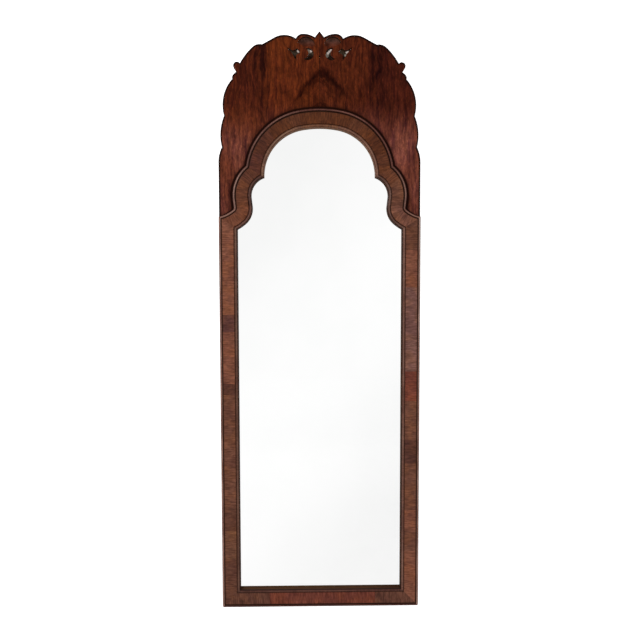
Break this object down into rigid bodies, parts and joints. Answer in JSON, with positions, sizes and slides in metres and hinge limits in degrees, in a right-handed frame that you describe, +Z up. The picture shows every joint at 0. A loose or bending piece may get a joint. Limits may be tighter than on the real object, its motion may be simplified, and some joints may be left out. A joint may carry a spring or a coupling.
{
  "type": "pier mirror",
  "caption": "Tall wall mirror: arched and shouldered walnut-veneered frame with half-round beads under a scalloped, pierced crest board, hung by hinged rings at the back.",
  "frame": {"origin": "middle of the bottom edge of the frame's back, where it faces the wall", "axes": "+X to the viewer's right, +Y back to the wall, +Z up; the glass faces -Y"},
  "size_m": [0.495, 0.0294, 1.428],
  "materials": {
    "cross_banding": "cross-grained walnut veneer, waxed shellac polish",
    "bead": "solid walnut, waxed",
    "crest_veneer": "figured walnut veneer, shellac polish",
    "crest_core": "bare oak or pine board, dark with age",
    "pine": "bare pine, sawn and planed",
    "backboard": "bare thin pine boards",
    "mirror": "silvered looking glass",
    "paper": "thin dark lining paper",
    "setting_wood": "small softwood blocks",
    "cork": null,
    "brass": "dull brass",
    "screw": "dull brass"
  },
  "bodies": {
    "frame": {"left_stile": "pine", "right_stile": "pine", "bottom_rail": "pine", "left_toe_block": "pine", "right_toe_block": "pine", "left_shoulder_block": "pine", "right_shoulder_block": "pine", "left_haunch_block": "pine", "right_haunch_block": "pine", "crown_block": "pine", "left_stile_banding": "cross_banding", "right_stile_banding": "cross_banding", "bottom_banding": "cross_banding", "left_toe_banding": "cross_banding", "right_toe_banding": "cross_banding", "left_shoulder_banding": "cross_banding", "right_shoulder_banding": "cross_banding", "arch_banding": "cross_banding", "left_stile_bead": "bead", "right_stile_bead": "bead", "bottom_bead": "bead", "left_toe_bead": "bead", "right_toe_bead": "bead", "left_shoulder_bead": "bead", "right_shoulder_bead": "bead", "left_haunch_bead": "bead", "right_haunch_bead": "bead", "crown_bead": "bead", "left_sight_bead": "bead", "right_sight_bead": "bead", "bottom_sight_bead": "bead", "left_toe_sight_bead": "bead", "right_toe_sight_bead": "bead", "left_shoulder_sight_bead": "bead", "right_shoulder_sight_bead": "bead", "left_haunch_sight_bead": "bead", "right_haunch_sight_bead": "bead", "crown_sight_bead": "bead", "crest_board": "crest_core", "left_crest_veneer": "crest_veneer", "right_crest_veneer": "crest_veneer", "left_batten": "pine", "right_batten": "pine", "batten_screws": "screw", "mirror_plate": "mirror", "lining_paper": "paper", "setting_blocks": "setting_wood", "lower_backboard": "backboard", "middle_backboard": "backboard", "upper_backboard": "backboard", "arched_backboard": "backboard", "backboard_screws": "screw", "left_hanger_plate": "brass", "right_hanger_plate": "brass", "hanger_screws": "screw", "wall_pads": "cork"},
    "left_ring": {"left_hanger_ring": "brass"},
    "right_ring": {"right_hanger_ring": "brass"}
  },
  "joints": [
    {"name": "left_ring_swing", "type": "hinge", "parent": "frame", "child": "left_ring", "pos_m": [-0.232, 0.003, 0.86], "axis": [1, 0, 0], "range_deg": [0, 180]},
    {"name": "right_ring_swing", "type": "hinge", "parent": "frame", "child": "right_ring", "pos_m": [0.232, 0.003, 0.86], "axis": [1, 0, 0], "range_deg": [0, 180]}
  ]
}
